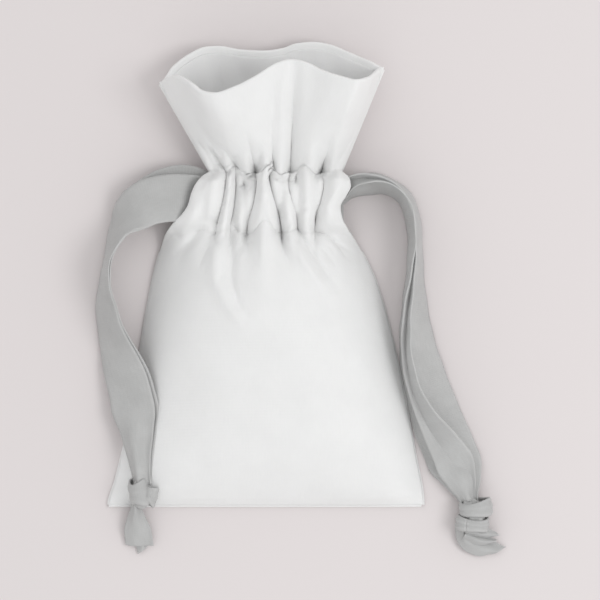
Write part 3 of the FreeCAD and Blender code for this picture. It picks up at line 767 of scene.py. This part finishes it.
bottom_line = (front_grid[0] + back_grid[0]) / 2 + np.array((0, -0.2, 0))
bottom_roll = seam_roll("bottom_seam_roll", bottom_line[::2], BOTTOM_SEAM_RADIUS)
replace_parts(bottom_roll, "bottom_stitching")
body_end = int(np.searchsorted(body_rows, 8.0))    # the channel's ends, above this y, are open
for side, column in (("left", 0), ("right", -1)):
    line = (front_grid[:, column] + back_grid[:, column]) / 2
    roll = seam_roll(f"{side}_side_seam_roll", line[:body_end:2], SEAM_RADIUS)
    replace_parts(roll, f"{side}_side_stitching")
    seam_roll(f"{side}_header_seam_roll", line[stitch_row:], SEAM_RADIUS)


# ---- ribbons
def read_route(points):
    """The points along a smooth spline that the route's points pull on."""
    curve = bpy.data.curves.new("route", "CURVE")
    curve.dimensions = "3D"
    curve.resolution_u = 14
    spline = curve.splines.new("NURBS")
    spline.points.add(len(points) - 1)
    for point, place in zip(spline.points, points):
        point.co = (*[c * MM for c in place], 1)
    spline.order_u = 3
    spline.use_endpoint_u = True
    obj = bpy.data.objects.new("route", curve)
    mesh = bpy.data.meshes.new_from_object(obj)
    line = np.array([v.co for v in mesh.vertices]) / MM
    bpy.data.objects.remove(obj)
    bpy.data.meshes.remove(mesh)
    return line


EXIT = 19.0           # the ribbons leave their flat run in the channel here, by |x|
RUN_Y = 23.4          # the middle of that run
CUP = 0.5             # height of a full-width ribbon's middle over its edges
LOWEST = 0.3          # no ribbon comes nearer to the table than this
full = RIBBON_WIDTH


def line_frame(line):
    """The length so far and the directions ahead, level and up at each point of a line."""
    gaps = np.linalg.norm(np.diff(line, axis=0), axis=1)
    along = np.concatenate([[0], np.cumsum(gaps)])
    ahead = np.gradient(line, axis=0)
    ahead = ahead / np.linalg.norm(ahead, axis=1, keepdims=True)
    level = np.cross((0, 0, 1.0), ahead)
    level = level / np.linalg.norm(level, axis=1, keepdims=True)
    return along, ahead, level, np.cross(ahead, level)


def turned(level, up, degrees):
    """The directions across a ribbon and out of its face, once it is turned about its line."""
    a = math.radians(degrees)
    return math.cos(a) * level + math.sin(a) * up, math.cos(a) * up - math.sin(a) * level


def ribbon_piece(name, grid, uv, lowest):
    """A ribbon's sheet, made thick, kept off the table and dressed."""
    grid[:, :, 2] = np.maximum(grid[:, :, 2], lowest)
    obj = grid_mesh(name, grid, uv)
    thicken(obj, RIBBON)
    return finish_piece(obj, grosgrain)


def ribbon_mesh(name, line, roll_keys, width_keys, clearance=None):
    """A flat ribbon along a line. Its keys go by the share of its length outside the channel: roll turns it
    on edge (degrees), width narrows it towards a knot. clearance is its room over the front cloth."""
    along, _, level, up = line_frame(line)
    start = slice(0, len(line) // 3)
    inner = float(np.interp(EXIT, np.abs(line[start, 0]), along[start]))
    share = (along - inner) / (along[-1] - inner)
    roll, width = through(roll_keys), through(width_keys)
    across = 17
    u = np.linspace(-1, 1, across)
    grid, uv = [], []
    for k, spot in enumerate(line):
        w = float(width(share[k]))
        wide, face = turned(level[k], up[k], float(roll(share[k])))
        spare = math.sqrt(max(1 - (w / RIBBON_WIDTH) ** 2, 0))
        free = float(step(share[k], -0.02, 0.06))
        fold = 1.4 * spare * np.cos(u * math.pi * 1.15 + 0.5) + CUP * (1 - u * u) * (1 - spare)
        ripple = 0.10 * np.sin(along[k] * 0.55 + u * 1.4)
        grid.append(spot + np.outer(u * w / 2, wide) + np.outer(free * (fold + ripple), face))
        uv.append(np.stack([(u + 1) * RIBBON_WIDTH / 2, np.full(across, along[k])], 1))
    grid = np.array(grid)
    if clearance is not None:
        grid = above_body(grid, clearance)
    return ribbon_piece(name, grid, np.array(uv), LOWEST + RIBBON / 2)


def above_body(grid, clearance):
    """Lifts a ribbon off the front cloth where it crosses it, below the neck."""
    out = grid.copy()
    for place in np.ndindex(grid.shape[:2]):
        x, y, z = grid[place]
        if BOTTOM < y < NECK_EDGE and left_edge(y) < x < right_edge(y):
            ground = float(front_height(np.array([x]), np.array([y]))[0])
            out[place][2] = max(z, ground + clearance)
    return out


# Each strand's route from the middle of the neck to its knot, its roll and its width.
left_front_line = read_route([
    (-2.0, RUN_Y, FRONT_RUN), (-12.0, RUN_Y, FRONT_RUN), (-20.0, 23.6, FRONT_RUN), (-26, 24.3, 10.6),
    (-32, 24.2, 10.4), (-38.6, 22.6, 9.8), (-45.4, 17.0, 8.8), (-49.6, 8.0, 8.2), (-51.4, -3.0, 8.0),
    (-50.2, -14.2, 7.4), (-46.8, -25.2, 6.8), (-43.0, -36.0, 7.0), (-41.2, -46.4, 8.0), (-40.4, -56.6, 8.0),
    (-39.8, -62.0, 7.9), (-39.2, -66.4, 7.9)])
left_back_line = read_route([
    (-2.0, RUN_Y, BACK_RUN), (-12.0, RUN_Y, BACK_RUN), (-19.0, 24.6, BACK_RUN), (-25, 27.8, 5.4),
    (-31.5, 26.6, 6.4), (-38.2, 22.6, 7.2), (-44.7, 16.5, 7.8), (-48.9, 7.7, 7.8), (-50.7, -3.2, 7.6),
    (-49.4, -14.2, 6.9), (-45.8, -25.3, 6.1), (-41.8, -36.0, 6.2), (-39.9, -46.4, 7.2), (-39.3, -56.8, 7.2),
    (-38.9, -62.0, 7.0), (-38.8, -66.2, 7.2)])
right_front_line = read_route([
    (2.0, RUN_Y, FRONT_RUN), (12.0, RUN_Y, FRONT_RUN), (20.0, 25.6, FRONT_RUN), (26.5, 30.2, 7.6),
    (33.0, 31.2, 7.8), (39.2, 30.0, 8.0), (44.8, 26.2, 7.9), (47.7, 20.2, 7.8), (48.5, 10.8, 7.7),
    (47.8, 0.2, 7.6), (47.2, -10.6, 7.0), (47.9, -22.2, 6.0), (50.7, -33.6, 4.6), (55.0, -45.0, 3.2),
    (59.6, -55.6, 2.8), (62.8, -64.0, 3.6), (64.6, -71.8, 5.0)])
right_back_line = read_route([
    (2.0, RUN_Y, BACK_RUN), (12.0, RUN_Y, BACK_RUN), (19.0, 24.0, BACK_RUN), (25.0, 26.6, 6.2),
    (31.8, 28.8, 7.2), (37.6, 28.4, 7.7), (42.6, 25.2, 7.7), (45.5, 19.2, 7.6), (46.4, 10.4, 7.6),
    (45.8, 0.0, 7.6), (44.4, -10.8, 7.5), (43.8, -22.8, 7.2), (45.6, -34.6, 6.4), (50.4, -46.2, 5.0),
    (56.9, -56.4, 3.4), (61.6, -64.6, 3.0), (64.0, -71.8, 4.4)])

left_front_ribbon = ribbon_mesh(
    "left_front_ribbon", left_front_line,
    [(0, 0), (0.10, 4), (0.17, 12), (0.23, 36), (0.28, 64), (0.33, 74), (0.38, 79), (0.43, 74), (0.49, 64),
     (0.55, 57), (0.60, 50), (0.66, 34), (0.74, 24), (1, 14)],
    [(0.78, full), (0.86, 11), (0.93, 7.6), (1, 5.6)], clearance=1.1)
left_back_ribbon = ribbon_mesh(
    "left_back_ribbon", left_back_line,
    [(0, 0), (0.10, 2), (0.17, 14), (0.23, 40), (0.28, 67), (0.33, 77), (0.38, 81), (0.43, 77), (0.49, 67),
     (0.55, 60), (0.60, 52), (0.66, 35), (0.74, 24), (1, 14)],
    [(0.78, full), (0.86, 10.5), (0.93, 7.2), (1, 5.2)], clearance=0.45)
right_front_ribbon = ribbon_mesh(
    "right_front_ribbon", right_front_line,
    [(0, 0), (0.03, -30), (0.06, -66), (0.1, -76), (0.2, -81), (0.33, -80), (0.42, -72), (0.48, -62),
     (0.57, -46), (0.67, -29), (0.77, -20), (0.88, -14), (1, -6)],
    [(-0.03, full), (0.03, 9), (0.06, 10), (0.13, full), (0.90, full), (0.95, 11), (1, 5.6)])
right_back_ribbon = ribbon_mesh(
    "right_back_ribbon", right_back_line,
    [(0, 0), (0.03, 24), (0.06, 52), (0.12, 66), (0.2, 80), (0.33, 82), (0.55, 79), (0.7, 70), (0.8, 46),
     (0.9, 18), (1, 6)],
    [(-0.03, full), (0.03, 9), (0.06, 11), (0.12, full), (0.89, full), (0.95, 10), (1, 5.2)])


# ---- knots and tails
UP = np.array((0, 0, 1.0))


def knot_axes(heading):
    """A knot's direction along the ribbon and across it."""
    return (np.array((math.sin(heading), -math.cos(heading), 0.0)),
            np.array((math.cos(heading), math.sin(heading), 0.0)))


def wrap_mesh(name, centre, heading, lean, radii, width, wind, phase, fold):
    """One turn of ribbon round a knot's core: an uneven band on an oval ring, leaning across the knot."""
    around, across = 56, 11
    axis, side = knot_axes(heading)
    tilted = axis * math.cos(lean) + side * math.sin(lean)
    flat = side * math.cos(lean) - axis * math.sin(lean)
    u = np.linspace(-1, 1, across)
    grid, uv = [], []
    for k in range(around):
        a = 2 * math.pi * k / around + phase
        out = flat * math.cos(a) * radii[0] + UP * math.sin(a) * radii[1]
        normal = flat * math.cos(a) / radii[0] + UP * math.sin(a) / radii[1]
        normal = normal / np.linalg.norm(normal)
        w = width * (0.86 + 0.14 * math.sin(a * 2 + phase))
        pleat = fold * (1.0 - u ** 4) + 0.30 * fold * np.cos(u * 7 + a)
        shift = wind * math.sin(a)
        grid.append(centre + out + np.outer(u * w / 2 + shift, tilted) + np.outer(pleat, normal))
        uv.append(np.stack([(u + 1) * RIBBON_WIDTH / 2, np.full(across, a * radii[0])], 1))
    obj = grid_mesh(name, np.array(grid + [grid[0]]), np.array(uv + [uv[0]]))
    thicken(obj, KNOTTED)
    return finish_piece(obj, grosgrain)


def core_mesh(name, centre, heading, radii):
    """The knot's crumpled middle."""
    rows, columns = 26, 32
    axis, side = knot_axes(heading)
    grid, uv = [], []
    for r in range(rows):
        t = math.pi * (r + 0.02) / (rows - 0.96)
        row, row_uv = [], []
        for c in range(columns):
            a = 2 * math.pi * c / columns
            swell = 1 + 0.1225 * math.sin(3 * a + 2.2 * t) + 0.07 * math.sin(7 * a - 3 * t)
            row.append(centre - axis * math.cos(t) * radii[0]
                       + side * math.sin(t) * math.cos(a) * radii[1] * swell
                       + UP * math.sin(t) * math.sin(a) * radii[2] * swell)
            row_uv.append((a * radii[1], t * radii[0]))
        grid.append(row)
        uv.append(row_uv)
    obj = grid_mesh(name, np.array(grid), np.array(uv), closed=True)
    return finish_piece(obj, grosgrain)


def tail_mesh(name, route, widths, lean, cut):
    """A cut end of ribbon below the knot: folded where it leaves it, fanning out to a slanted cut."""
    line = read_route(route)
    along, ahead, level, up = line_frame(line)
    share = along / along[-1]
    across = 19
    u = np.linspace(-1, 1, across)
    width = through(list(zip(np.linspace(0, 1, len(widths)), widths)))
    grid, uv = [], []
    for k, spot in enumerate(line):
        wide, face = turned(level[k], up[k], lean)
        depth = (1.1 - 0.45 * share[k]) * (1 - 0.2 * share[k])
        fold = depth * np.cos(u * math.pi + 0.6 * share[k])
        slant = cut * u * share[k] ** 2
        points = spot + np.outer(u * float(width(share[k])) / 2, wide) + np.outer(fold, face)
        grid.append(points + np.outer(slant, ahead[k]))
        uv.append(np.stack([(u + 1) * RIBBON_WIDTH / 2, np.full(across, along[k])], 1))
    return ribbon_piece(name, np.array(grid), np.array(uv), TAIL_LOWEST)


TAIL_LOWEST = 0.35
LEFT_KNOT = np.array((-39.6, -69.2, 6.6))
RIGHT_KNOT = np.array((65.6, -76.6, 4.6))
LEFT_TURN, RIGHT_TURN = math.radians(4), math.radians(18)
left_knot_pieces = [
    core_mesh("left_knot_core", LEFT_KNOT + (0.2, 0.4, -0.3), LEFT_TURN, (5.2, 3.0, 2.9)),
    wrap_mesh("left_knot_wide_wrap", LEFT_KNOT + (-0.5, 0.6, 0.2), LEFT_TURN, lean=0.10, radii=(2.5, 2.9),
              width=8.4, wind=0.4, phase=0.3, fold=0.5),
    wrap_mesh("left_knot_side_loop", LEFT_KNOT + (2.6, -0.8, -0.5), LEFT_TURN, lean=-0.34, radii=(2.0, 2.5),
              width=6.4, wind=-0.7, phase=1.3, fold=0.5),
]
right_knot_pieces = [
    core_mesh("right_knot_core", RIGHT_KNOT + (0, 0.4, -0.2), RIGHT_TURN, (5.6, 3.9, 3.2)),
    wrap_mesh("right_knot_upper_wrap", RIGHT_KNOT + (0.9, 3.0, 0.2), RIGHT_TURN, lean=-0.16, radii=(4.5, 3.7),
              width=5.4, wind=0.6, phase=0.4, fold=0.6),
    wrap_mesh("right_knot_lower_wrap", RIGHT_KNOT + (-0.2, -2.0, -0.1), RIGHT_TURN, lean=-0.40,
              radii=(4.5, 3.6), width=4.6, wind=0.6, phase=2.0, fold=0.6),
]
# Each tail's route from its knot, widths at even shares of it, lean (degrees) and the slant of its cut.
left_tail_pieces = [
    tail_mesh("left_long_tail_ribbon",
              [(-41.2, -72.4, 5.6), (-41.2, -76.6, 4.6), (-40.8, -81.4, 2.8), (-40.2, -86.0, 1.6)],
              (2.8, 5.6, 8.6, 8.8), lean=6, cut=0.6),
    tail_mesh("left_short_tail_ribbon",
              [(-40.8, -72.4, 4.6), (-40.6, -77.0, 2.6), (-39.8, -81.6, 1.4), (-38.8, -87.2, 0.8)],
              (2.4, 3.6, 4.6, 4.2), lean=-8, cut=-1.2),
]
right_tail_pieces = [
    tail_mesh("right_long_tail_ribbon",
              [(62.4, -79.2, 3.8), (63.0, -83.2, 3.2), (66.4, -86.2, 2.4), (74.2, -87.6, 1.4)],
              (5.0, 6.4, 6.4, 3.0), lean=6, cut=2.0),
    tail_mesh("right_short_tail_ribbon",
              [(63.4, -80.4, 5.2), (66.0, -81.0, 5.2), (69.6, -81.8, 4.4), (73.6, -82.2, 3.4)],
              (4.6, 4.4, 3.4, 0.9), lean=12, cut=-0.6),
    tail_mesh("right_middle_tail_ribbon",
              [(63.0, -82.0, 4.4), (66.0, -83.4, 4.4), (69.6, -84.4, 3.6), (73.0, -84.4, 2.6)],
              (4.6, 4.0, 2.8, 0.9), lean=0, cut=0.6),
]


def side_set(side, strands, knot, tails):
    """One side's two strands, knot and tails: what the knot and tails ride on and what they all replace.
    strands are (piece, line, exit), front and back; their line and exit are not used."""
    for piece in knot + tails:
        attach(piece, f"{side}_strands")
    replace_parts(knot[0], f"{side}_knot")
    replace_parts(tails[0], f"{side}_long_tail")
    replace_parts(tails[1], f"{side}_short_tail")
    for layer, (strand, _, _) in zip(("front", "back"), strands):
        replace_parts(strand, f"{side}_{layer}_strand", f"{side}_ribbon_{layer}_run")
        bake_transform(strand)


side_set("left",
         [(left_front_ribbon, left_front_line, (-0.0235, 0.0243, 0.0108)),
          (left_back_ribbon, left_back_line, (-0.0235, 0.0270, 0.0044))],
         left_knot_pieces, left_tail_pieces)
side_set("right",
         [(right_front_ribbon, right_front_line, (0.0265, 0.0294, 0.0084)),
          (right_back_ribbon, right_back_line, (0.0265, 0.0266, 0.0054))],
         right_knot_pieces, right_tail_pieces)

# Inside each end of the neck the other ribbon goes round the side seam.
TURN_HALF_WIDTH = 6.5
for side, sign in (("left", -1), ("right", 1)):
    turn_xs = (4, 14, 23, 24.4)
    turn_line = [(sign * x, RUN_Y, BACK_TURN) for x in turn_xs]
    turn_line += [(sign * x, RUN_Y, FRONT_TURN) for x in reversed(turn_xs)]
    line = read_route(turn_line)
    offsets = np.linspace(-TURN_HALF_WIDTH, TURN_HALF_WIDTH, 9)
    grid = np.stack([line + np.array((0, offset, 0)) for offset in offsets], 1)
    along = line_frame(line)[0]
    uv = np.stack(np.broadcast_arrays(np.linspace(0, RIBBON_WIDTH, 9)[None, :], along[:, None]), 2)
    loop = grid_mesh(f"{side}_ribbon_loop", grid, uv)
    thicken(loop, RIBBON)
    finish_piece(loop, grosgrain)
    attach(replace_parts(loop, f"{side}_ribbon_turn"), "pouch")
